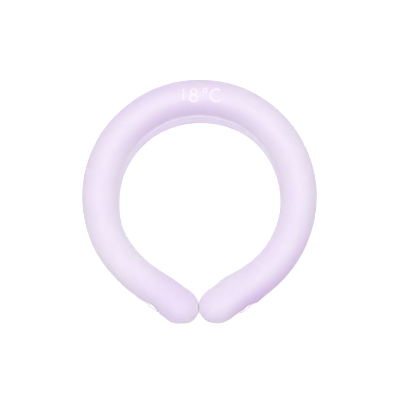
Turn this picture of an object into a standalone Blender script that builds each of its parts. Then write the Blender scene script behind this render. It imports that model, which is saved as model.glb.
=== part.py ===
# Cooling neck ring: a soft translucent tube bent to an open ring, filled with
# cooling gel and closed by a plug in the outer side of each end.
# It lies flat, with +Z up, the nape at +Y and the two tips meeting at -Y.
# All sizes are in metres.

import math
from collections import namedtuple

import bmesh
import bpy
from mathutils import Vector

# The ring
RING_WIDTH = 0.150  # across the outside
TUBE_RADIUS = 0.01128
BEND_TURN = math.radians(142.5)  # from the nape to where each end runs straight
TIP_LENGTH = 0.0140  # of the rounded tip past the straight run
TIP_GAP = 0.0006  # between the two tips
TIP_PRESS = 0.0005  # how far each tip is flattened by the other
TIP_BLUNT = 0.0014  # how far the front of the longer tip is flattened
PRESS_BLEND = 0.0003  # how softly the flattened faces run into the round tip

# The heel, a lower and smaller lobe towards the neck
HEEL_RADIUS = 0.0060
HEEL_REACH = 0.0052  # past the tube at the nape

# Wall and fits
SKIN_WALL = 0.0015
CLEARANCE = 0.0003

# The filling ports
PORT_SETBACK = 0.013  # from the start of the rounded tip
PLUG_RADIUS = 0.0056
PLUG_THICKNESS = 0.0017
PLUG_CROWN = 0.0003  # how far the cap's middle stands above its rim
PLUG_ROUNDING = 0.0006
STEM_RADIUS = 0.0025
BOSS_MARGIN = 0.0015  # of the thickened wall around the seat

# Facets
BEND_STEPS = 18
RUN_STEPS = 8
TIP_STEPS = 5
ROUND_STEPS = 24

# Angles of the section's points, in degrees from the outer side over the top.
TUBE_ANGLES = range(-75, 166, 15)
HEEL_ANGLES = (176, 181, 187, 197, 209, 222, 237, 255)
FOOT_ANGLES = (-75, 255)  # the edges of the flat that the tube rests on

# Sections from the nape to the start of the rounded tip. The place is a share
# of that length, the outer and inner half widths are shares of TUBE_RADIUS, and
# the heel is a share of its full form.
Section = namedtuple("Section", "place outer inner heel")
LEFT_SECTIONS = (
    Section(place=0.00, outer=0.97, inner=1.00, heel=1.00),
    Section(place=0.13, outer=0.97, inner=1.00, heel=0.95),
    Section(place=0.25, outer=0.96, inner=1.00, heel=0.79),
    Section(place=0.36, outer=0.98, inner=1.00, heel=0.62),
    Section(place=0.47, outer=1.00, inner=1.00, heel=0.35),
    Section(place=0.57, outer=1.00, inner=1.00, heel=0.17),
    Section(place=0.66, outer=1.01, inner=0.97, heel=0.02),
    Section(place=0.76, outer=0.99, inner=0.98, heel=0.00),
    Section(place=0.86, outer=1.02, inner=0.96, heel=0.00),
    Section(place=0.92, outer=1.00, inner=1.03, heel=0.00),
    Section(place=1.00, outer=1.00, inner=1.06, heel=0.00),
)
RIGHT_SECTIONS = (
    Section(place=0.00, outer=0.97, inner=1.00, heel=1.00),
    Section(place=0.13, outer=0.98, inner=1.00, heel=0.86),
    Section(place=0.25, outer=0.98, inner=1.00, heel=0.62),
    Section(place=0.36, outer=1.00, inner=1.00, heel=0.41),
    Section(place=0.47, outer=1.00, inner=1.00, heel=0.25),
    Section(place=0.57, outer=1.00, inner=1.00, heel=0.04),
    Section(place=0.66, outer=1.01, inner=1.00, heel=0.00),
    Section(place=0.76, outer=1.03, inner=0.98, heel=0.00),
    Section(place=0.86, outer=1.09, inner=0.98, heel=0.00),
    Section(place=0.90, outer=1.12, inner=1.07, heel=0.00),
    Section(place=0.93, outer=1.05, inner=1.17, heel=0.00),
    Section(place=0.97, outer=0.92, inner=1.10, heel=0.00),
    Section(place=1.00, outer=0.90, inner=1.08, heel=0.00),
)

# The two sides of the ring, with how deep each port's flat seat lies below the
# tube's outer side.
Side = namedtuple("Side", "name sign sections seat_depth")
SIDES = (
    Side(name="left", sign=-1, sections=LEFT_SECTIONS, seat_depth=0.0025),
    Side(name="right", sign=1, sections=RIGHT_SECTIONS, seat_depth=0.0016),
)

# Values worked out from the sizes above
BEND_RADIUS = RING_WIDTH / 2 - TUBE_RADIUS
BEND_LENGTH = BEND_RADIUS * BEND_TURN
BEND_END = Vector((math.sin(BEND_TURN), math.cos(BEND_TURN), 0)) * BEND_RADIUS
RUN_HEADING = Vector((math.cos(BEND_TURN), -math.sin(BEND_TURN), 0))
RUN_OUTWARD = Vector((math.sin(BEND_TURN), math.cos(BEND_TURN), 0))


def tip_widths(side):
    """Half width of the rounded tip, and how far its middle lies outward of the path."""
    last = side.sections[-1]
    return (last.outer + last.inner) / 2 * TUBE_RADIUS, (last.outer - last.inner) / 2 * TUBE_RADIUS


def run_length(side):
    """Length of the straight run, so that the rounded tip just reaches its pressed face."""
    half_width, offset = tip_widths(side)
    reach = math.hypot(TIP_LENGTH * RUN_HEADING.x, half_width * RUN_OUTWARD.x)
    tip_centre = TIP_GAP / 2 - TIP_PRESS + reach - offset * RUN_OUTWARD.x
    return (BEND_END.x - tip_centre) / -RUN_HEADING.x


def tip_front(side):
    """Lowest y of the rounded tip before it is flattened."""
    half_width, offset = tip_widths(side)
    middle = BEND_END.y + run_length(side) * RUN_HEADING.y + offset * RUN_OUTWARD.y
    return middle - math.hypot(TIP_LENGTH * RUN_HEADING.y, half_width * RUN_OUTWARD.y)


FRONT = min(tip_front(side) for side in SIDES) + TIP_BLUNT


def side_length(side):
    return BEND_LENGTH + run_length(side)


def path_frame(distance):
    """Centre, heading and outward direction at a distance from the nape, on the +X side."""
    turn = min(distance / BEND_RADIUS, BEND_TURN)
    outward = Vector((math.sin(turn), math.cos(turn), 0))
    heading = Vector((math.cos(turn), -math.sin(turn), 0))
    centre = outward * BEND_RADIUS + heading * max(distance - BEND_LENGTH, 0)
    return centre, heading, outward


def section_at(side, distance):
    """The side's section at a distance from the nape, on a smooth curve through its rows."""
    rows = side.sections
    place = min(max(distance / side_length(side), 0), 1)
    after = max(next(i for i, row in enumerate(rows) if row.place >= place), 1)
    low, high = rows[after - 1], rows[after]
    before, beyond = rows[max(after - 2, 0)], rows[min(after + 1, len(rows) - 1)]
    span = high.place - low.place
    share = (place - low.place) / span
    mixed = []
    for column in range(1, len(Section._fields)):
        slope_low = (high[column] - before[column]) / (high.place - before.place) * span
        slope_high = (beyond[column] - low[column]) / (beyond.place - low.place) * span
        mixed.append(
            (2 * share**3 - 3 * share**2 + 1) * low[column]
            + (share**3 - 2 * share**2 + share) * slope_low
            + (3 * share**2 - 2 * share**3) * high[column]
            + (share**3 - share**2) * slope_high
        )
    return Section(place, *mixed)


def tube_reach(angle):
    """Distance from the centre to the plain tube's surface, flat where it rests."""
    if angle in FOOT_ANGLES:
        return TUBE_RADIUS / abs(math.sin(math.radians(angle)))
    return TUBE_RADIUS


def heel_reach(angle):
    """The same with the full heel: its round lobe, and a level underside up to the lobe's lowest point."""
    middle = Vector((-(TUBE_RADIUS + HEEL_REACH - HEEL_RADIUS), HEEL_RADIUS - TUBE_RADIUS))
    ray = Vector((math.cos(math.radians(angle)), math.sin(math.radians(angle))))
    along = ray.dot(middle)
    aside = abs(ray.cross(middle))
    reach = tube_reach(angle)
    if aside < HEEL_RADIUS and along > 0:
        reach = max(reach, along + math.sqrt(HEEL_RADIUS**2 - aside**2))
    if ray.y < 0 and ray.x / ray.y * TUBE_RADIUS < -middle.x:
        reach = max(reach, -TUBE_RADIUS / ray.y)
    return reach


def outline(section):
    """Points (outward, up) round one section, from low on the outer side, over the top and under."""
    points = []
    for angle in TUBE_ANGLES:
        points.append((angle, tube_reach(angle)))
    for angle in HEEL_ANGLES:
        plain = tube_reach(angle)
        points.append((angle, plain + (heel_reach(angle) - plain) * max(section.heel, 0)))
    placed = []
    for angle, reach in points:
        across = reach * math.cos(math.radians(angle))
        up = reach * math.sin(math.radians(angle))
        placed.append(Vector((across * (section.outer if across > 0 else section.inner), up)))
    return placed


def inset_outline(points, inset):
    """The same outline moved inwards by an even distance."""
    moved = []
    for i, point in enumerate(points):
        before = (point - points[i - 1]).normalized()
        after = (points[(i + 1) % len(points)] - point).normalized()
        normals = (Vector((-before.y, before.x)), Vector((-after.y, after.x)))
        middle = (normals[0] + normals[1]).normalized()
        moved.append(point + middle * inset / middle.dot(normals[0]))
    return moved


def pressed(value, face):
    """A coordinate kept past a flattened face, with a soft edge to it."""
    return face + PRESS_BLEND * math.log1p(math.exp((value - face) / PRESS_BLEND))


def side_rings(side, inset):
    """Rings of points along one side, from the nape into the rounded tip, and the tip's last point."""
    distances = [BEND_LENGTH * i / BEND_STEPS for i in range(BEND_STEPS + 1)]
    distances += [BEND_LENGTH + run_length(side) * (i + 1) / RUN_STEPS for i in range(RUN_STEPS)]
    rings = []
    for distance in distances:
        centre, heading, outward = path_frame(distance)
        points = inset_outline(outline(section_at(side, distance)), inset)
        rings.append([centre + outward * p.x + Vector((0, 0, p.y)) for p in points])
    middle = centre + outward * tip_widths(side)[1]
    last = list(rings[-1])
    for i in range(1, TIP_STEPS):
        turn = math.pi / 2 * i / TIP_STEPS
        forward = heading * (TIP_LENGTH - inset) * math.sin(turn)
        rings.append([middle + (p - middle) * math.cos(turn) + forward for p in last])
    pole = middle + heading * (TIP_LENGTH - inset)
    for point in [pole] + [p for ring in rings[BEND_STEPS + 1 :] for p in ring]:
        point.x = pressed(point.x, TIP_GAP / 2 + inset)
        point.y = pressed(point.y, FRONT + inset)
    for point in [pole] + [p for ring in rings for p in ring]:
        point.x *= side.sign
    return rings, pole


def ring_offset():
    """Move that stands the ring on the floor with the middle of its box over the origin."""
    points = [p for side in SIDES for ring in side_rings(side, 0)[0] for p in ring]
    widths = [p.x for p in points]
    depths = [p.y for p in points]
    return Vector((-(min(widths) + max(widths)) / 2, -(min(depths) + max(depths)) / 2, TUBE_RADIUS))


OFFSET = ring_offset()


def new_object(name, mesh, collection):
    made = bpy.data.objects.new(name, mesh)
    collection.objects.link(made)
    return made


def loft(name, inset, collection):
    """The ring's form, from the left tip over the nape to the right tip."""
    (left_rings, left_pole), (right_rings, right_pole) = [side_rings(side, inset) for side in SIDES]
    bm = bmesh.new()
    rings = left_rings[::-1] + right_rings[1:]
    loops = [[bm.verts.new(p + OFFSET) for p in ring] for ring in rings]
    left_tip, right_tip = bm.verts.new(left_pole + OFFSET), bm.verts.new(right_pole + OFFSET)
    count = len(loops[0])
    for i in range(count):
        after = (i + 1) % count
        bm.faces.new((left_tip, loops[0][after], loops[0][i]))
        for near, far in zip(loops, loops[1:]):
            bm.faces.new((near[i], near[after], far[after], far[i]))
        bm.faces.new((loops[-1][i], loops[-1][after], right_tip))
    mesh = bpy.data.meshes.new(name)
    bm.to_mesh(mesh)
    bm.free()
    mesh.shade_smooth()
    return new_object(name, mesh, collection)


def port_frame(side):
    """Seat centre and outward direction of the side's port."""
    distance = side_length(side) - PORT_SETBACK
    centre, _, outward = path_frame(distance)
    seat = section_at(side, distance).outer * TUBE_RADIUS - side.seat_depth
    flip = Vector((side.sign, 1, 1))
    return (centre + outward * seat) * flip + OFFSET, outward * flip


def cylinder(name, radius, bottom, top, place, direction, collection):
    """A round cutter along a port's axis, between two heights above its seat."""
    bm = bmesh.new()
    bmesh.ops.create_cone(
        bm,
        cap_ends=True,
        segments=ROUND_STEPS,
        radius1=radius,
        radius2=radius,
        depth=top - bottom,
    )
    bmesh.ops.translate(bm, verts=bm.verts, vec=(0, 0, (top + bottom) / 2))
    mesh = bpy.data.meshes.new(name)
    bm.to_mesh(mesh)
    bm.free()
    made = new_object(name, mesh, collection)
    place_on_port(made, place, direction)
    return made


def place_on_port(made, place, direction):
    made.location = place
    made.rotation_euler = direction.to_track_quat("Z", "Y").to_euler()


def cut(target, cutter):
    difference = target.modifiers.new("cut_" + cutter.name, "BOOLEAN")
    difference.operation = "DIFFERENCE"
    difference.solver = "EXACT"
    difference.object = cutter


def hide_cutter(made):
    made.hide_render = True
    made.display_type = "WIRE"


def plug(name, place, direction, collection):
    """A turned plug: a crowned cap with a rounded rim on the seat, and a stem through the wall."""
    underside = CLEARANCE
    top = underside + PLUG_THICKNESS
    profile = [(0, top + PLUG_CROWN)]
    for i in range(4):
        turn = math.pi / 2 * i / 3
        profile.append(
            (
                PLUG_RADIUS - PLUG_ROUNDING * (1 - math.sin(turn)),
                top - PLUG_ROUNDING * (1 - math.cos(turn)),
            )
        )
    profile += [
        (PLUG_RADIUS, underside),
        (STEM_RADIUS, underside),
        (STEM_RADIUS, -SKIN_WALL),
        (0, -SKIN_WALL),
    ]
    mesh = bpy.data.meshes.new(name)
    edges = [(i, i + 1) for i in range(len(profile) - 1)]
    mesh.from_pydata([(radius, 0, height) for radius, height in profile], edges, [])
    made = new_object(name, mesh, collection)
    turn = made.modifiers.new("turn", "SCREW")
    turn.steps = ROUND_STEPS
    turn.render_steps = ROUND_STEPS
    turn.use_merge_vertices = True
    turn.merge_threshold = 0.00001
    place_on_port(made, place, direction)
    return made


def material(made, colour, roughness, transmission):
    """A Principled material with this colour, for one piece."""
    made_material = bpy.data.materials.new(made.name)
    made_material.use_nodes = True
    shader = made_material.node_tree.nodes["Principled BSDF"]
    shader.inputs["Base Color"].default_value = (*colour, 1)
    shader.inputs["Roughness"].default_value = roughness
    shader.inputs["Metallic"].default_value = 0
    shader.inputs["Transmission Weight"].default_value = transmission
    made.data.materials.append(made_material)


def build_skin(parts, cutters):
    """The hollow tube, with a flat seat and a bore for each plug."""
    skin = loft("skin", 0, parts)
    cavity = loft("cavity", SKIN_WALL, cutters)
    hide_cutter(cavity)
    cut(skin, cavity)
    for side in SIDES:
        place, direction = port_frame(side)
        above = 2 * side.seat_depth + SKIN_WALL
        boss = cylinder(
            "boss_" + side.name,
            PLUG_RADIUS + BOSS_MARGIN,
            -SKIN_WALL,
            above,
            place,
            direction,
            cutters,
        )
        seat = cylinder(
            "seat_" + side.name, PLUG_RADIUS + CLEARANCE, 0, above, place, direction, cutters
        )
        bore = cylinder(
            "bore_" + side.name,
            STEM_RADIUS + CLEARANCE,
            -2 * SKIN_WALL,
            above / 2,
            place,
            direction,
            cutters,
        )
        cut(cavity, boss)
        cut(skin, seat)
        cut(skin, bore)
        for cutter in (boss, seat, bore):
            hide_cutter(cutter)
    material(skin, (0.80, 0.70, 0.90), 0.38, 0.35)


def build_filling(parts, cutters):
    """The cooling gel that fills the tube, clear of the wall and of the thick wall behind each seat."""
    filling = loft("gel_filling", SKIN_WALL + CLEARANCE, parts)
    for side in SIDES:
        place, direction = port_frame(side)
        recess = cylinder(
            "recess_" + side.name,
            PLUG_RADIUS + BOSS_MARGIN + CLEARANCE,
            -SKIN_WALL - CLEARANCE,
            2 * side.seat_depth + SKIN_WALL,
            place,
            direction,
            cutters,
        )
        hide_cutter(recess)
        cut(filling, recess)
    material(filling, (0.86, 0.78, 0.93), 0.50, 0.10)


def build_plugs(parts):
    for side in SIDES:
        place, direction = port_frame(side)
        made = plug("port_plug_" + side.name, place, direction, parts)
        material(made, (0.88, 0.84, 0.93), 0.25, 0.60)


def build():
    for leftover in list(bpy.data.objects):
        bpy.data.objects.remove(leftover)
    parts = bpy.data.collections.new("cooling_neck_ring")
    cutters = bpy.data.collections.new("cutters")
    bpy.context.scene.collection.children.link(parts)
    bpy.context.scene.collection.children.link(cutters)
    build_skin(parts, cutters)
    build_filling(parts, cutters)
    build_plugs(parts)


build()
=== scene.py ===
import math

import bmesh
import bpy
from mathutils import Matrix, Vector, noise
from mathutils.bvhtree import BVHTree


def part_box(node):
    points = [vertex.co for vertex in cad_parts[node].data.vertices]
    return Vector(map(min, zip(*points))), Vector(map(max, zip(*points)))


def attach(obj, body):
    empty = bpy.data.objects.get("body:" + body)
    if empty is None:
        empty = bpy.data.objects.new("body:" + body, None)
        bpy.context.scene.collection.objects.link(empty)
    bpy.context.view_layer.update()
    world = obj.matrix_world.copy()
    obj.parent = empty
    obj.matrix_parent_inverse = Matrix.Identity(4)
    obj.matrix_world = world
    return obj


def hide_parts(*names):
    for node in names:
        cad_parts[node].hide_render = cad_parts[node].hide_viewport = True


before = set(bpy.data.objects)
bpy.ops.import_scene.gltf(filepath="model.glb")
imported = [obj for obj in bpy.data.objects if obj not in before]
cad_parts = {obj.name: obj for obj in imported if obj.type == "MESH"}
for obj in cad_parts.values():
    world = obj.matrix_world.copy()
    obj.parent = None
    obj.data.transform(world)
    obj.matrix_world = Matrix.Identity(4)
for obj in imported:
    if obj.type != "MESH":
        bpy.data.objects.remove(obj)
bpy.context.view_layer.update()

# A cooling neck ring lying flat: +Z up, the nape towards +Y, the tips meeting at -Y. Metres.
skinLow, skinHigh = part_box("skin")
ring = {
    "width": 0.150,
    "tubeRadius": (skinHigh.z - skinLow.z) / 2,
    "bendTurn": math.radians(142.5),  # from the nape to where each end runs straight
    "tipLength": 0.0140,
    "tipPress": 0.0003,  # how far each tip is flattened by the other
    "tipBlunt": 0.0011,  # how far the front of the longer tip is flattened
    "pressBlend": 0.0002,  # how softly the flattened faces run into the round tip
    "widestBetween": (60, 130),  # degrees round the bend, where each side stands out most
}
ring["bendRadius"] = ring["width"] / 2 - ring["tubeRadius"]
ring["bendLength"] = ring["bendRadius"] * ring["bendTurn"]

# From the nape to the start of the rounded tip: half widths as shares of the tube's radius, the
# heel as a share of its full form, the inner mould line as a share of its full height, and the
# painted shade on the outer and the inner side, a darker tint standing in for shade where the
# surface turns from the light. A painted shade of 0 is the pale tint and 1 the darker painted-shade
# tint, and the two tints are also mixed past these ends.
sectionColumns = ("place", "outer", "inner", "heel", "line", "outerPaintedShade", "innerPaintedShade")
leftSide = {
    "name": "left",
    "sign": -1,  # of x
    "seatDepth": 0.0022,  # of the plug's seat below the tube's outer side
    "meet": 0.0005,  # from the bend's middle to the pressed face
    "tipLean": 0.0006,  # how far the tip's nose leans in towards the neck
    "tipPaintedShade": 0.30,  # painted shade: how much deeper and darker the whole tip's colour is made
    "rows": (
        (0.00, 0.97, 1.00, 1.00, 1.00, 0.60, 0.90),
        (0.13, 0.97, 1.00, 0.95, 0.95, 0.65, 0.90),
        (0.25, 0.96, 1.00, 0.79, 0.80, 0.50, 0.72),
        (0.36, 0.98, 1.01, 0.62, 0.50, 0.40, 0.40),
        (0.47, 0.99, 1.02, 0.35, 0.25, 0.35, 0.20),
        (0.57, 0.99, 1.02, 0.17, 0.15, 0.30, 0.15),
        (0.66, 1.01, 0.97, 0.02, 0.15, 0.15, 0.05),
        (0.76, 0.98, 0.98, 0.00, 0.15, 0.20, 0.05),
        (0.86, 1.01, 0.96, 0.00, 0.15, 0.35, 0.10),
        (0.92, 1.00, 1.03, 0.00, 0.15, 0.50, 0.20),
        (1.00, 1.00, 1.09, 0.00, 0.15, 0.40, 0.25),
    ),
}
rightSide = {
    "name": "right",
    "sign": 1,
    "seatDepth": 0.0020,
    "meet": -0.0005,
    "tipLean": 0.0012,
    # painted shade of the whole tip
    "tipPaintedShade": 0.10,
    "rows": (
        (0.00, 0.97, 1.00, 1.00, 1.00, 0.60, 0.90),
        (0.13, 0.98, 1.00, 0.86, 0.95, 0.45, 0.72),
        (0.25, 0.98, 1.00, 0.62, 0.80, 0.25, 0.42),
        (0.36, 0.99, 1.02, 0.41, 0.50, 0.25, 0.25),
        (0.47, 0.99, 1.02, 0.25, 0.25, 0.30, 0.25),
        (0.57, 0.99, 1.02, 0.04, 0.15, 0.40, 0.25),
        (0.66, 1.00, 1.00, 0.00, 0.15, 0.70, 0.25),
        (0.76, 1.02, 0.98, 0.00, 0.15, 1.00, 0.25),
        (0.86, 1.07, 0.98, 0.00, 0.15, 1.30, 0.25),
        (0.90, 1.09, 1.07, 0.00, 0.15, 1.50, 0.20),
        (0.93, 1.04, 1.17, 0.00, 0.15, 1.50, 0.20),
        (0.97, 0.92, 1.13, 0.00, 0.15, 0.90, 0.25),
        (1.00, 0.90, 1.15, 0.00, 0.15, 0.55, 0.25),
    ),
}


def smoothStep(low, high, value):
    share = min(max((value - low) / (high - low), 0), 1)
    return share * share * (3 - 2 * share)


# The side's section at a distance from the nape, on a smooth curve through its rows
def sectionAt(side, distance):
    rows = side["rows"]
    place = min(max(distance / sideLength(side), 0), 1)
    after = max(next(i for i, row in enumerate(rows) if row[0] >= place), 1)
    low, high = rows[after - 1], rows[after]
    before, beyond = rows[max(after - 2, 0)], rows[min(after + 1, len(rows) - 1)]
    span = high[0] - low[0]
    t = (place - low[0]) / span
    mixed = {"place": place}
    for column, name in enumerate(sectionColumns[1:], 1):
        slopeLow = 0  # level over the nape, where the two sides meet
        if after > 1:
            slopeLow = (high[column] - before[column]) / (high[0] - before[0]) * span
        slopeHigh = (beyond[column] - low[column]) / (beyond[0] - low[0]) * span
        mixed[name] = (
            (2 * t**3 - 3 * t**2 + 1) * low[column]
            + (t**3 - 2 * t**2 + t) * slopeLow
            + (3 * t**2 - 2 * t**3) * high[column]
            + (t**3 - t**2) * slopeHigh
        )
    return mixed


# Half width of the rounded tip, and how far its middle lies outward of the path
def tipWidths(side):
    outer, inner = side["rows"][-1][1:3]
    return (outer + inner) / 2 * ring["tubeRadius"], (outer - inner) / 2 * ring["tubeRadius"]


# Length of the straight run, so that the tip just reaches its pressed face
def runLength(side):
    halfWidth, offset = tipWidths(side)
    sine, cosine = math.sin(ring["bendTurn"]), -math.cos(ring["bendTurn"])
    reach = math.hypot(ring["tipLength"] * cosine, halfWidth * sine)
    tipCentre = side["meet"] - ring["tipPress"] + reach - offset * sine
    return (ring["bendRadius"] * sine - tipCentre) / cosine


def sideLength(side):
    return ring["bendLength"] + runLength(side)


# Centre, heading and outward direction at a distance from the nape, on the +X side of a
# ring whose bend is centred on the origin
def pathFrame(distance):
    turn = min(distance / ring["bendRadius"], ring["bendTurn"])
    outward = Vector((math.sin(turn), math.cos(turn), 0))
    heading = Vector((math.cos(turn), -math.sin(turn), 0))
    centre = outward * ring["bendRadius"] + heading * max(distance - ring["bendLength"], 0)
    return centre, heading, outward


# Lowest y of the rounded tip before it is flattened
def tipFront(side):
    halfWidth, offset = tipWidths(side)
    centre, heading, outward = pathFrame(sideLength(side))
    reach = math.hypot(ring["tipLength"] * heading.y, halfWidth * outward.y)
    return centre.y + offset * outward.y - reach


# How far the side stands out from the bend's centre
def sideReach(side):
    widest = 0
    for degree in range(*ring["widestBetween"]):
        distance = ring["bendRadius"] * math.radians(degree)
        centre, _, outward = pathFrame(distance)
        outer = sectionAt(side, distance)["outer"] * ring["tubeRadius"]
        widest = max(widest, (centre + outward * outer).x)
    return widest


ring["front"] = min(tipFront(leftSide), tipFront(rightSide)) + ring["tipBlunt"]
ring["centre"] = Vector((
    (skinLow.x + skinHigh.x + sideReach(leftSide) - sideReach(rightSide)) / 2,
    skinHigh.y - ring["bendRadius"] - leftSide["rows"][0][1] * ring["tubeRadius"],
    ring["tubeRadius"],
))


# A point of the side's own +X form, in its place on the floor
def placed(side, point):
    return Vector((point.x * side["sign"], point.y, point.z)) + ring["centre"]


skinSettings = {
    "heelRadius": 0.006,
    "heelReach": 0.0052,  # how far the heel stands out past the round tube
    "creaseBlend": 0.0032,  # how softly the tube runs into the heel
    "footAngle": 15,  # half of the flat underside, seen from the tube's centre
    "footFade": 34,
    "lineAngles": (0, 176.5),  # of the outer and the inner mould line
    "lineHeights": (0.00010, 0.00045),
    "lineWidth": 0.00055,
    "linePaintedHighlight": 0.6,  # painted highlight: how much paler the inner mould line is made
    "lineZone": 3,  # widths of a line within which the points lie closer
    "stepsPerDegree": 10,  # of the search for points round a section
    "reachFrom": 2,  # radii out, where the search for the heel's surface starts
    "reachSteps": 120,
    "roundStep": 0.00095,
    "lineStep": 0.00018,
    "bendStep": 0.0019,
    "runStep": 0.0012,
    "tipSteps": 14,
    "topPaintedShade": 0.16,  # painted shade along the top
    "rimFrom": (0.05, 0.85),  # shares of the radius from the top, where the painted shade starts and ends deepening towards the rims
    "sideTurn": 0.5,  # the same, to each side of the top, where the outer painted shade becomes the inner one
    "heelAngles": (158, 176, 250, 270),  # where the heel's lighter painted shade fades in and out again
    "heelShadeFade": 0.45,  # how much less painted shade the heel gets than the painted-shade band above it
    "tipShadeFrom": (0.80, 0.93),  # shares of the side's length where the tip's painted shade comes in
    "contactDepth": -0.3,  # painted light where the tips press on each other: a painted shade below 0, paler than pale
    "contactReach": 0.0015,
    "waveFrom": (0.0004, 0.003),  # heights above the floor where the waves come in
    "waveHeight": 0.00016,
    "waveLength": 0.022,
    "rippleHeight": 0.00004,
    "rippleLength": 0.006,
}


# Distance from the tube's centre to its plain surface, flat where it rests
def tubeReach(angle):
    away = math.radians(abs((angle - 90) % 360 - 180))
    radius = ring["tubeRadius"]
    if away > math.radians(skinSettings["footFade"]):
        return radius
    fade = 1 - smoothStep(skinSettings["footAngle"], skinSettings["footFade"], math.degrees(away))
    return radius + (radius / math.cos(away) - radius) * fade


# How far a point lies outside the round tube and the heel's lobe, which run softly together
def heelDistance(point):
    radius, heel = ring["tubeRadius"], skinSettings["heelRadius"]
    middle = Vector((heel - radius - skinSettings["heelReach"], heel - radius))
    fromTube, fromLobe = point.length - radius, (point - middle).length - heel
    blend = skinSettings["creaseBlend"]
    mix = max(blend - abs(fromTube - fromLobe), 0)
    return min(fromTube, fromLobe) - mix * mix / (4 * blend)


# Distance to the surface with the full heel, a lower and smaller lobe towards the neck
def heelReach(angle):
    ray = Vector((math.cos(math.radians(angle)), math.sin(math.radians(angle))))
    reach = skinSettings["reachFrom"] * ring["tubeRadius"]
    for _ in range(skinSettings["reachSteps"]):
        reach -= heelDistance(ray * reach)
    reach = max(reach, tubeReach(angle))
    lobeMiddle = ring["tubeRadius"] + skinSettings["heelReach"] - skinSettings["heelRadius"]
    if ray.y < 0 and 0 <= ray.x / ray.y * ring["tubeRadius"] < lobeMiddle:
        reach = max(reach, -ring["tubeRadius"] / ray.y)  # level underneath, up to the lobe
    return reach


# Angle, plain reach and reach with the heel, in even steps along the skin, finer beside its lines
def sectionForm():
    def surfacePoint(angle):
        turn = math.radians(angle)
        return Vector((math.cos(turn), math.sin(turn))) * heelReach(angle)

    crests = [surfacePoint(angle) for angle in skinSettings["lineAngles"]]
    lineReach = skinSettings["lineZone"] * skinSettings["lineWidth"]
    form = []
    last = None
    for count in range(360 * skinSettings["stepsPerDegree"]):
        angle = count / skinSettings["stepsPerDegree"]
        point = surfacePoint(angle)
        nearLine = min((point - crest).length for crest in crests) < lineReach
        step = skinSettings["lineStep" if nearLine else "roundStep"]
        if last is None or (point - last).length >= step:
            form.append((angle, tubeReach(angle), heelReach(angle)))
            last = point
    return form


# Points (outward, up) round one section with the thin raised mould lines, each point with how
# much of the inner line it is
def sectionOutline(section, form):
    points = []
    for angle, plain, full in form:
        reach = plain + (full - plain) * max(section["heel"], 0)
        across = reach * math.cos(math.radians(angle))
        width = section["outer"] if across > 0 else section["inner"]
        points.append(Vector((across * width, reach * math.sin(math.radians(angle)))))
    crests = [
        min(zip(form, points), key=lambda pair: abs(pair[0][0] - angle))[1].copy()
        for angle in skinSettings["lineAngles"]
    ]
    heights = (skinSettings["lineHeights"][0], skinSettings["lineHeights"][1] * section["line"])
    raised = []
    for i, point in enumerate(points):
        along = (points[(i + 1) % len(points)] - points[i - 1]).normalized()
        shares = [math.exp(-((point - crest).length / skinSettings["lineWidth"]) ** 2) for crest in crests]
        height = heights[0] * shares[0] + heights[1] * shares[1]
        raised.append((point + Vector((along.y, -along.x)) * height, shares[1] * section["line"]))
    return raised


# Painted shade at this angle of a section: pale on top and deeper towards the rims, where the surface turns
# from the light
def paintedShadeAt(section, angle, tipTurn):
    upward = math.sin(math.radians(angle)) * math.cos(tipTurn)
    rim = math.sqrt(max(1 - upward * upward, 0))
    sideTurn = skinSettings["sideTurn"]
    outerShare = smoothStep(-sideTurn, sideTurn, math.cos(math.radians(angle)))
    deepest = section["innerPaintedShade"] + (section["outerPaintedShade"] - section["innerPaintedShade"]) * outerShare
    start, full, fade, end = skinSettings["heelAngles"]
    onHeel = smoothStep(start, full, angle) * max(section["heel"], 0) * (1 - smoothStep(fade, end, angle))
    top = skinSettings["topPaintedShade"]
    paintedShade = top + (deepest - top) * smoothStep(*skinSettings["rimFrom"], rim)
    return paintedShade * (1 - skinSettings["heelShadeFade"] * onHeel)


# Pulls a new loop out of the last one
def extrudeLoop(bm, edges):
    made = bmesh.ops.extrude_edge_only(bm, edges=edges)["geom"]
    verts = [item for item in made if isinstance(item, bmesh.types.BMVert)]
    fresh = set(verts)
    loop = [
        item for item in made
        if isinstance(item, bmesh.types.BMEdge) and item.verts[0] in fresh and item.verts[1] in fresh
    ]
    return verts, loop


# Turns a bmesh into a smooth piece that rides on the ring
def newPiece(name, bm, material):
    mesh = bpy.data.meshes.new(name)
    bm.to_mesh(mesh)
    bm.free()
    mesh.shade_smooth()
    piece = bpy.data.objects.new(name, mesh)
    bpy.context.scene.collection.objects.link(piece)
    piece.data.materials.append(material)
    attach(piece, "root")
    return piece


# Distances from the nape, each with how far round the tip it is
def stations(side):
    bendCount = round(ring["bendLength"] / skinSettings["bendStep"])
    runCount = round(runLength(side) / skinSettings["runStep"])
    found = [(ring["bendLength"] * i / bendCount, 0) for i in range(bendCount)]
    found += [(ring["bendLength"] + runLength(side) * i / runCount, 0) for i in range(runCount + 1)]
    for i in range(1, skinSettings["tipSteps"] + 1):
        found.append((sideLength(side), math.pi / 2 * i / skinSettings["tipSteps"]))
    return found


# A coordinate kept past a flattened face, with a soft edge to it
def pressed(value, face):
    blend = ring["pressBlend"]
    return face + blend * math.log1p(math.exp((value - face) / blend))
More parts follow.
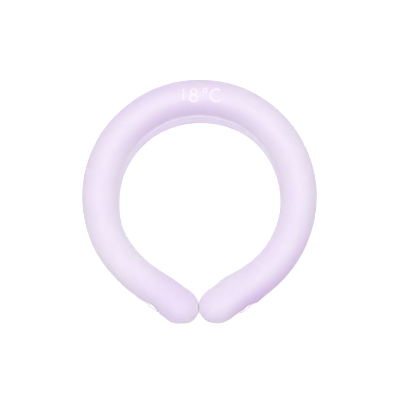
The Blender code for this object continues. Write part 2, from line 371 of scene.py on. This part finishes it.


# The skin's loop at one station of a side: each point with its painted shade
def loopPoints(side, form, distance, tipTurn):
    centre, heading, outward = pathFrame(distance)
    section = sectionAt(side, distance)
    middle = centre + outward * tipWidths(side)[1]
    points = []
    for (angle, _, _), (flat, onLine) in zip(form, sectionOutline(section, form)):
        point = centre + outward * flat.x + Vector((0, 0, flat.y))
        if tipTurn:
            forward = heading * ring["tipLength"] * math.sin(tipTurn)
            point = middle + (point - middle) * math.cos(tipTurn) + forward
            point.y += side["tipLean"] * math.sin(tipTurn) ** 3  # mostly at the nose
        if distance > ring["bendLength"]:
            point.x = pressed(point.x, side["meet"])
            point.y = pressed(point.y, ring["front"])
        # Painted shade from the section's angle, made paler on the inner mould line as a painted highlight,
        # deeper over the tip, and pulled to painted light where the tips press
        paintedShade = paintedShadeAt(section, angle, tipTurn) * (1 - skinSettings["linePaintedHighlight"] * onLine)
        shade = side["tipPaintedShade"] * smoothStep(*skinSettings["tipShadeFrom"], section["place"])
        paintedShade += (1 - paintedShade) * shade * math.cos(tipTurn) ** 2
        if tipTurn:
            away = (point.x - side["meet"]) / skinSettings["contactReach"]
            paintedShade += (skinSettings["contactDepth"] - paintedShade) * math.exp(-away * away)
        points.append((placed(side, point), paintedShade))
    return points


# The whole tube: a ring of points pulled from the left tip over the nape to the right tip
def pullTube(bm):
    form = sectionForm()
    loops = [loopPoints(leftSide, form, *station) for station in reversed(stations(leftSide))]
    loops += [loopPoints(rightSide, form, *station) for station in stations(rightSide)[1:]]
    step = bm.verts.layers.int.new("step")
    # Each point's painted shade, which the skin's material reads to darken or lighten its tint
    paintedShade = bm.verts.layers.float.new("paintedShade")
    first = bmesh.ops.create_circle(bm, segments=len(form), radius=ring["tubeRadius"])["verts"]
    for number, vert in enumerate(first):
        vert[step] = number  # the extruded points keep it
        vert.co, vert[paintedShade] = loops[0][number]
    edges = bm.edges[:]
    for points in loops[1:]:
        last, edges = extrudeLoop(bm, edges)
        for vert in last:
            vert.co, vert[paintedShade] = points[vert[step]]
    bmesh.ops.pointmerge(bm, verts=first, merge_co=loops[0][0][0])
    bmesh.ops.pointmerge(bm, verts=last, merge_co=loops[-1][0][0])


# Slow waves of the soft wall, which leave the flat underside as it is
def softenSkin(bm):
    bm.normal_update()
    moves = {}
    for vert in bm.verts:
        free = smoothStep(*skinSettings["waveFrom"], vert.co.z)
        wave = noise.noise(vert.co / skinSettings["waveLength"]) * skinSettings["waveHeight"]
        wave += noise.noise(vert.co / skinSettings["rippleLength"]) * skinSettings["rippleHeight"]
        moves[vert] = vert.normal * wave * free
    for vert, move in moves.items():
        vert.co += move
        vert.co.z = max(vert.co.z, 0)


portSettings = {
    "setback": 0.013,  # from the end of the straight run
    "plugRadius": 0.0056,
    "clearance": 0.0003,
    "thickness": 0.0017,
    "crown": 0.0003,
    "crownBend": (0.55, 0.7),  # shares of the plug's radius and of the crown's height
    "rounding": 0.0006,
    "roundSteps": 5,
    "turnSteps": 64,
    "sharpFrom": 50,  # degrees between faces that stay a sharp edge
    "stemRadius": 0.0025,
    "stemLength": 0.0015,
    "seatRamp": 0.0009,
    "fineReach": 1.5,  # seat radii within which the skin gets finer faces
    "fineBelow": 0.004,
    "pressReach": 2,  # seat radii within which the skin is pressed flat
}
mergeGap = 0.000002  # points closer than this are one


# Side name, seat centre and outward direction of both ports
def portFrames():
    for side in (leftSide, rightSide):
        distance = sideLength(side) - portSettings["setback"]
        centre, _, outward = pathFrame(distance)
        seat = sectionAt(side, distance)["outer"] * ring["tubeRadius"] - side["seatDepth"]
        place = placed(side, centre + outward * seat)
        yield side["name"], place, placed(side, outward) - ring["centre"]


# A flat round seat for each plug, in finer faces
def pressSeats(bm):
    reach = portSettings["plugRadius"] + portSettings["clearance"]

    def isNear(vert):
        away = vert.co - seat
        above = away.dot(outward) > -portSettings["fineBelow"]
        return above and away.length < reach * portSettings["fineReach"]

    for _, seat, outward in portFrames():
        near = [edge for edge in bm.edges if all(isNear(vert) for vert in edge.verts)]
        bmesh.ops.subdivide_edges(bm, edges=near, cuts=1, use_grid_fill=True)
        for vert in bm.verts:
            away = vert.co - seat
            height = away.dot(outward)
            if height < 0 or away.length > reach * portSettings["pressReach"]:
                continue
            radial = (away - outward * height).length
            press = 1 - smoothStep(reach, reach + portSettings["seatRamp"], radial)
            vert.co -= outward * height * press


def buildSkin(material):
    bm = bmesh.new()
    pullTube(bm)
    bmesh.ops.recalc_face_normals(bm, faces=bm.faces)
    softenSkin(bm)
    pressSeats(bm)
    skin = newPiece("soft_skin", bm, material)
    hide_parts("skin")
    print("skin:", len(skin.data.polygons), "faces")
    return skin


# A clear round plug, turned from its profile
def buildPlug(name, seat, outward, material):
    p = portSettings
    underside = p["clearance"]
    top = underside + p["thickness"]
    bendOut, bendUp = p["crownBend"]
    bm = bmesh.new()
    profile = [(0, top + p["crown"]), (p["plugRadius"] * bendOut, top + p["crown"] * bendUp)]
    for i in range(p["roundSteps"] + 1):
        turn = math.pi / 2 * i / p["roundSteps"]
        profile.append((
            p["plugRadius"] - p["rounding"] * (1 - math.sin(turn)),
            top - p["rounding"] * (1 - math.cos(turn)),
        ))
    profile += [
        (p["plugRadius"], underside),
        (p["stemRadius"], underside),
        (p["stemRadius"], -p["stemLength"]),
        (0, -p["stemLength"]),
    ]
    verts = [bm.verts.new((radius, 0, height)) for radius, height in profile]
    edges = [bm.edges.new(pair) for pair in zip(verts, verts[1:])]
    bmesh.ops.spin(
        bm, geom=verts + edges, axis=(0, 0, 1), cent=(0, 0, 0),
        steps=p["turnSteps"], angle=math.tau, use_merge=True
    )
    bmesh.ops.remove_doubles(bm, verts=bm.verts, dist=mergeGap)
    bmesh.ops.recalc_face_normals(bm, faces=bm.faces)
    place = Matrix.Translation(seat) @ outward.to_track_quat("Z", "Y").to_matrix().to_4x4()
    bmesh.ops.transform(bm, matrix=place, verts=bm.verts)
    plug = newPiece("clear_plug_" + name, bm, material)
    plug.data.set_sharp_from_angle(angle=math.radians(p["sharpFrom"]))
    plug.visible_shadow = False  # light passes the clear plastic to the seat
    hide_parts("port_plug_" + name)
    print("plug", name)
    return plug


printSettings = {
    "height": 0.0080,  # of the figures, between the middles of their strokes
    "stroke": 0.00130,
    "thickness": 0.00008,
    "baseline": 0.0598,  # from the bend's centre
    "arcStep": 10,  # degrees
    "arcStepsLeast": 6,
    "strokeRoundness": 4,
    "closedWithin": 0.001,  # shares of the height between the ends of a closed stroke
    "longEdge": 0.001,  # edges longer than this are cut, so that they follow the tube
    "longCuts": 6,
    "above": 1,  # height from which the strokes are laid down
}


# Points of an ellipse, in shares of the figures' height
def arcStroke(x, y, radiusX, radiusY, fromAngle=0, toAngle=360):
    steps = max(printSettings["arcStepsLeast"], round(abs(toAngle - fromAngle) / printSettings["arcStep"]))
    points = []
    for i in range(steps + 1):
        turn = math.radians(fromAngle + (toAngle - fromAngle) * i / steps)
        points.append((x + radiusX * math.cos(turn), y + radiusY * math.sin(turn)))
    return points


# The temperature, 18 degrees Celsius, in plain round strokes, each with its share of the
# stroke's width. An arc has its middle, its two radii and the angles that it runs between.
def printStrokes():
    return (
        (1.0, [(-1.38, 0.86), (-1.26, 1.0), (-1.26, 0.0)]),
        (1.0, arcStroke(-0.46, 0.28, 0.30, 0.28)),
        (1.0, arcStroke(-0.46, 0.79, 0.22, 0.21)),
        (0.7, arcStroke(0.43, 0.90, 0.15, 0.15)),
        (1.0, arcStroke(1.34, 0.5, 0.50, 0.5, 52, 308)),
    )


# Raised ink strokes laid on the nape's upper side
def buildPrint(skin, material):
    size, half = printSettings["height"], printSettings["stroke"] / 2
    baseline = ring["centre"].y + printSettings["baseline"]
    curve = bpy.data.curves.new("print_lines", "CURVE")
    curve.dimensions = "3D"
    curve.bevel_depth = half
    curve.bevel_resolution = printSettings["strokeRoundness"]
    curve.use_fill_caps = True
    for width, points in printStrokes():
        closed = (Vector(points[0]) - Vector(points[-1])).length < printSettings["closedWithin"]
        if closed:
            points = points[:-1]
        spline = curve.splines.new("POLY")
        spline.points.add(len(points) - 1)
        for point, (x, y) in zip(spline.points, points):
            point.co = (ring["centre"].x + x * size, baseline + y * size, 0, 1)
            point.radius = width
        spline.use_cyclic_u = closed
    lines = bpy.data.objects.new("print_lines", curve)
    bpy.context.scene.collection.objects.link(lines)
    graph = bpy.context.evaluated_depsgraph_get()
    mesh = bpy.data.meshes.new_from_object(lines.evaluated_get(graph))
    bpy.data.objects.remove(lines)
    bm = bmesh.new()
    bm.from_mesh(mesh)
    bpy.data.meshes.remove(mesh)
    bmesh.ops.remove_doubles(bm, verts=bm.verts, dist=mergeGap)
    longEdges = [edge for edge in bm.edges if edge.calc_length() > printSettings["longEdge"]]
    bmesh.ops.subdivide_edges(bm, edges=longEdges, cuts=printSettings["longCuts"])
    ground = BVHTree.FromObject(skin, graph)
    for vert in bm.verts:
        above = Vector((vert.co.x, vert.co.y, printSettings["above"]))
        hit, normal, _, _ = ground.ray_cast(above, Vector((0, 0, -1)))
        lift = vert.co.z / half * printSettings["thickness"]
        vert.co = hit + normal * lift
    bmesh.ops.recalc_face_normals(bm, faces=bm.faces)
    ink = newPiece("temperature_print", bm, material)
    ink.visible_shadow = False  # light passes the thin ink both ways
    ink.visible_diffuse = False
    print("print:", len(ink.data.polygons), "faces")


def materialNodes(name):
    material = bpy.data.materials.new(name)
    material.use_nodes = True
    tree = material.node_tree
    return material, tree, tree.nodes["Principled BSDF"]


def objectNoise(tree, scale, detail):
    coordinates = tree.nodes.new("ShaderNodeTexCoord")
    texture = tree.nodes.new("ShaderNodeTexNoise")
    texture.inputs["Scale"].default_value = scale
    texture.inputs["Detail"].default_value = detail
    tree.links.new(coordinates.outputs["Object"], texture.inputs["Vector"])
    return texture.outputs["Fac"]


# A ramp between two stops
def colourRamp(tree, factor, stops):
    ramp = tree.nodes.new("ShaderNodeValToRGB")
    tree.links.new(factor, ramp.inputs["Fac"])
    for element, (position, colour) in zip(ramp.color_ramp.elements, stops):
        element.position = position
        element.color = (*colour, 1)
    return ramp.outputs["Color"]


noiseSpan = (0.3, 0.7)  # where nearly all values of a noise texture lie


def mapRange(tree, value, low, high):
    node = tree.nodes.new("ShaderNodeMapRange")
    node.inputs["From Min"].default_value = noiseSpan[0]
    node.inputs["From Max"].default_value = noiseSpan[1]
    node.inputs["To Min"].default_value = low
    node.inputs["To Max"].default_value = high
    tree.links.new(value, node.inputs["Value"])
    return node.outputs["Result"]


def bump(tree, height, strength, distance, below=None):
    node = tree.nodes.new("ShaderNodeBump")
    node.inputs["Strength"].default_value = strength
    node.inputs["Distance"].default_value = distance
    tree.links.new(height, node.inputs["Height"])
    if below:
        tree.links.new(below, node.inputs["Normal"])
    return node.outputs["Normal"]


# Milky lavender polyurethane, frosted and soft, with the gel's light inside it
def skinMaterial():
    look = {
        "pale": ((0.842, 0.795, 0.889), (0.860, 0.802, 0.899)),  # cloudy between two tints
        # darker, more purple tint that stands in for shade, mixed in by the painted shade
        "paintedShadeTint": ((0.768, 0.634, 0.874), (0.788, 0.649, 0.884)),
        "cloudSpan": (0.35, 0.65),
        "cloudScale": 55,
        "cloudBump": (0.10, 0.0010),  # strength and height
        "frostScale": 700,
        "frost": (0.40, 0.52),  # roughness
        "grainScale": 2600,
        "grainBump": (0.06, 0.00010),
        "glowRadius": (1.0, 0.75, 1.1),
        "glowScale": 0.004,
        "gloss": 0.08,
    }
    material, tree, shader = materialNodes("milky_skin")
    clouds = objectNoise(tree, look["cloudScale"], 3)
    # The painted shade attribute mixes the pale tint towards the darker painted-shade tint
    paintedShade = tree.nodes.new("ShaderNodeAttribute")
    paintedShade.attribute_name = "paintedShade"
    tint = tree.nodes.new("ShaderNodeMix")
    tint.data_type = "RGBA"
    tint.clamp_factor = False  # so that painted shade under 0, which is painted light, or over 1 counts
    tree.links.new(paintedShade.outputs["Fac"], tint.inputs["Factor"])
    for socket, name in (("A", "pale"), ("B", "paintedShadeTint")):
        low, high = look[name]
        ramp = colourRamp(tree, clouds, tuple(zip(look["cloudSpan"], (low, high))))
        tree.links.new(ramp, next(i for i in tint.inputs if i.name == socket and i.type == "RGBA"))
    tinted = next(o for o in tint.outputs if o.type == "RGBA")
    tree.links.new(tinted, shader.inputs["Base Color"])
    frost = objectNoise(tree, look["frostScale"], 4)
    tree.links.new(mapRange(tree, frost, *look["frost"]), shader.inputs["Roughness"])
    grain = objectNoise(tree, look["grainScale"], 2)
    normal = bump(tree, clouds, *look["cloudBump"])
    tree.links.new(bump(tree, grain, *look["grainBump"], normal), shader.inputs["Normal"])
    shader.inputs["Subsurface Weight"].default_value = 1.0
    shader.inputs["Subsurface Radius"].default_value = look["glowRadius"]
    shader.inputs["Subsurface Scale"].default_value = look["glowScale"]
    shader.inputs["IOR"].default_value = 1.45
    shader.inputs["Specular IOR Level"].default_value = look["gloss"]
    return material


# Clear soft plastic with a faint moulded ripple
def plugMaterial():
    look = {
        "tints": ((0.86, 0.82, 0.91), (0.93, 0.90, 0.96)),
        "roughness": (0.12, 0.22),
        "rippleScale": 420,
        "rippleBump": (0.10, 0.0002),
        "clearness": 0.88,
    }
    material, tree, shader = materialNodes("clear_plug")
    ripple = objectNoise(tree, look["rippleScale"], 3)
    colour = colourRamp(tree, ripple, tuple(zip(noiseSpan, look["tints"])))
    tree.links.new(colour, shader.inputs["Base Color"])
    tree.links.new(mapRange(tree, ripple, *look["roughness"]), shader.inputs["Roughness"])
    tree.links.new(bump(tree, ripple, *look["rippleBump"]), shader.inputs["Normal"])
    shader.inputs["Transmission Weight"].default_value = look["clearness"]
    shader.inputs["IOR"].default_value = 1.46
    return material


# Thin white ink with a slightly uneven cover
def inkMaterial():
    look = {
        "tints": ((0.3, (0.93, 0.83, 0.95)), (0.6, (0.97, 0.86, 0.98))),  # thin and full cover
        "roughness": (0.45, 0.60),
        "coverScale": 1300,
    }
    material, tree, shader = materialNodes("white_ink")
    cover = objectNoise(tree, look["coverScale"], 4)
    tree.links.new(colourRamp(tree, cover, look["tints"]), shader.inputs["Base Color"])
    tree.links.new(mapRange(tree, cover, *look["roughness"]), shader.inputs["Roughness"])
    return material


# Cloudy cooling gel
def gelMaterial():
    look = {
        "tints": ((0.84, 0.76, 0.92), (0.92, 0.86, 0.96)),
        "roughness": (0.30, 0.42),
        "cloudScale": 90,
        "glow": 0.8,
        "glowRadius": (1.0, 0.85, 1.0),
        "glowScale": 0.005,
    }
    material, tree, shader = materialNodes("cooling_gel")
    clouds = objectNoise(tree, look["cloudScale"], 4)
    colour = colourRamp(tree, clouds, tuple(zip(noiseSpan, look["tints"])))
    tree.links.new(colour, shader.inputs["Base Color"])
    tree.links.new(mapRange(tree, clouds, *look["roughness"]), shader.inputs["Roughness"])
    shader.inputs["Subsurface Weight"].default_value = look["glow"]
    shader.inputs["Subsurface Radius"].default_value = look["glowRadius"]
    shader.inputs["Subsurface Scale"].default_value = look["glowScale"]
    return material


studio = {
    "pixel": 0.000639,  # of the photograph, at the tube's middle height
    "frame": 400,  # pixels across the photograph
    "centrePixel": (199.5, 196.6),  # of the bend
    "cameraHeight": 0.80,
    "sensorWidth": 36,
    "clip": (0.01, 20),
    "skyLight": 0.30,
    "keyPlace": (-0.03, 0.09, 1.29),
    "keySize": 0.5,
    "keyPower": 12.8,
    "floorWidth": 12.0,
    "floorColour": 0.35,
    "floorRoughness": 0.9,
    "floorGlow": 0.78,
}


def buildCamera():
    data = bpy.data.cameras.new("camera")
    camera = bpy.data.objects.new("camera", data)
    bpy.context.scene.collection.objects.link(camera)
    aside = (studio["frame"] / 2 - studio["centrePixel"][0]) * studio["pixel"]
    below = (studio["frame"] / 2 - studio["centrePixel"][1]) * studio["pixel"]
    camera.location = ring["centre"] + Vector((aside, -below, 0))
    camera.location.z = studio["cameraHeight"]
    distance = studio["cameraHeight"] - ring["tubeRadius"]
    data.sensor_width = studio["sensorWidth"]
    data.lens = data.sensor_width * distance / (studio["frame"] * studio["pixel"])
    data.clip_start, data.clip_end = studio["clip"]
    bpy.context.scene.camera = camera
    print("camera:", tuple(camera.location))


# A pale floor, an even sky and one large soft light from above, a little to the upper left
def buildStudio():
    bm = bmesh.new()
    bmesh.ops.create_grid(bm, x_segments=1, y_segments=1, size=studio["floorWidth"] / 2)
    mesh = bpy.data.meshes.new("floor")
    bm.to_mesh(mesh)
    bm.free()
    floor = bpy.data.objects.new("floor", mesh)
    bpy.context.scene.collection.objects.link(floor)
    material, tree, shader = materialNodes("pale_floor")
    grey = studio["floorColour"]
    shader.inputs["Base Color"].default_value = (grey, grey, grey, 1)
    shader.inputs["Roughness"].default_value = studio["floorRoughness"]
    shader.inputs["Emission Color"].default_value = (1, 1, 1, 1)
    shader.inputs["Emission Strength"].default_value = studio["floorGlow"]
    floor.data.materials.append(material)

    world = bpy.data.worlds.new("studio")
    world.use_nodes = True
    background = world.node_tree.nodes["Background"]
    background.inputs["Color"].default_value = (1, 1, 1, 1)
    background.inputs["Strength"].default_value = studio["skyLight"]
    bpy.context.scene.world = world

    data = bpy.data.lights.new("key", "AREA")
    data.size = studio["keySize"]
    data.energy = studio["keyPower"]
    key = bpy.data.objects.new("key", data)
    key.location = studio["keyPlace"]
    key.rotation_euler = (Vector((0, 0, 0)) - key.location).to_track_quat("-Z", "Y").to_euler()
    bpy.context.scene.collection.objects.link(key)
    bpy.context.scene.view_settings.view_transform = "Standard"
    print("studio: floor, sky and key light")


skin = buildSkin(skinMaterial())
clearPlastic = plugMaterial()
for portName, seat, outward in portFrames():
    buildPlug(portName, seat, outward, clearPlastic)
buildPrint(skin, inkMaterial())
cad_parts["gel_filling"].data.materials.clear()
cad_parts["gel_filling"].data.materials.append(gelMaterial())
buildCamera()
buildStudio()
